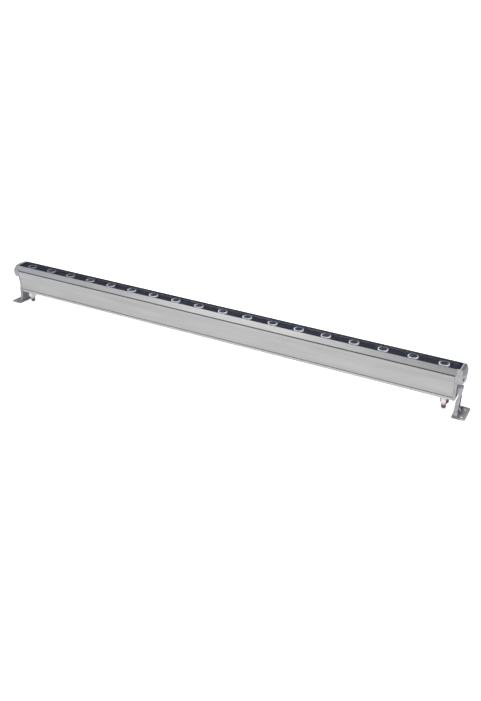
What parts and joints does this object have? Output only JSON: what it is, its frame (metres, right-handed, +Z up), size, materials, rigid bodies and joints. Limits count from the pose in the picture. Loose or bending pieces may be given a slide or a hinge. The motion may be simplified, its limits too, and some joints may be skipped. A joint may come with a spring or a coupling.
{
  "type": "outdoor wall washer light",
  "caption": "Linear outdoor wall washer with a row of lenses under flush glass in a tapered aluminium housing, domed end caps, cable glands and swivelling end brackets.",
  "frame": {"origin": "centre of the mounting plane under the two bracket feet, midway between them", "axes": "+X along the light, +Y across it towards its back, +Z up from the mounting plane towards the glass"},
  "size_m": [1.0298, 0.046, 0.09],
  "materials": {
    "brushed_aluminium": "satin silver anodised, brushed lengthwise",
    "cast_silver": "cast aluminium with a fine silver coat",
    "cover_glass": "clear toughened glass over a dark chamber",
    "seal_rubber": "matt silicone",
    "sleeve_rubber": "soft moulded rubber",
    "black_tray": "matt black",
    "bright_holder": "bright metallised rim",
    "clear_lens": "clear moulded optic",
    "white_board": "white solder mask",
    "emitter_resin": "phosphor resin",
    "steel_fasteners": "stainless steel",
    "plated_brass": "nickel-plated brass",
    "driver_case": "potted block",
    "terminal_plastic": "natural nylon",
    "wire_sleeve": "wire insulation"
  },
  "bodies": {
    "light": {"housing": "brushed_aluminium", "glass_cover": "cover_glass", "glass_seal": "seal_rubber", "lens_tray": "black_tray", "lens_holders": "bright_holder", "lens_01": "clear_lens", "lens_02": "clear_lens", "lens_03": "clear_lens", "lens_04": "clear_lens", "lens_05": "clear_lens", "lens_06": "clear_lens", "lens_07": "clear_lens", "lens_08": "clear_lens", "lens_09": "clear_lens", "lens_10": "clear_lens", "lens_11": "clear_lens", "lens_12": "clear_lens", "lens_13": "clear_lens", "lens_14": "clear_lens", "lens_15": "clear_lens", "lens_16": "clear_lens", "lens_17": "clear_lens", "lens_18": "clear_lens", "led_board_left": "white_board", "emitters_left": "emitter_resin", "led_board_middle": "white_board", "emitters_middle": "emitter_resin", "led_board_right": "white_board", "emitters_right": "emitter_resin", "board_screws": "steel_fasteners", "board_links": "white_board", "board_leads": "wire_sleeve", "driver": "driver_case", "driver_leads": "wire_sleeve", "terminal_block_left": "terminal_plastic", "terminal_block_right": "terminal_plastic", "end_cap_left": "cast_silver", "end_cap_right": "cast_silver", "cap_gasket_left": "seal_rubber", "cap_gasket_right": "seal_rubber", "cap_screws_left": "steel_fasteners", "cap_screws_right": "steel_fasteners", "swivel_screw_left": "steel_fasteners", "swivel_screw_right": "steel_fasteners", "swivel_washers_left": "steel_fasteners", "swivel_washers_right": "steel_fasteners", "gland_body_left": "plated_brass", "gland_body_right": "plated_brass", "gland_ring_left": "seal_rubber", "gland_ring_right": "seal_rubber", "gland_locknut_left": "plated_brass", "gland_locknut_right": "plated_brass", "gland_nut_left": "plated_brass", "gland_nut_right": "plated_brass", "gland_sleeve_left": "sleeve_rubber", "gland_sleeve_right": "sleeve_rubber"},
    "left_bracket": {"bracket_left": "cast_silver"},
    "right_bracket": {"bracket_right": "cast_silver"}
  },
  "joints": [
    {"name": "left_bracket_swivel", "type": "hinge", "parent": "light", "child": "left_bracket", "pos_m": [-0.4961, 0, 0.047], "axis": [1, 0, 0], "range_deg": [-90, 90]},
    {"name": "right_bracket_swivel", "type": "hinge", "parent": "light", "child": "right_bracket", "pos_m": [0.4961, 0, 0.047], "axis": [1, 0, 0], "range_deg": [-90, 90]}
  ]
}
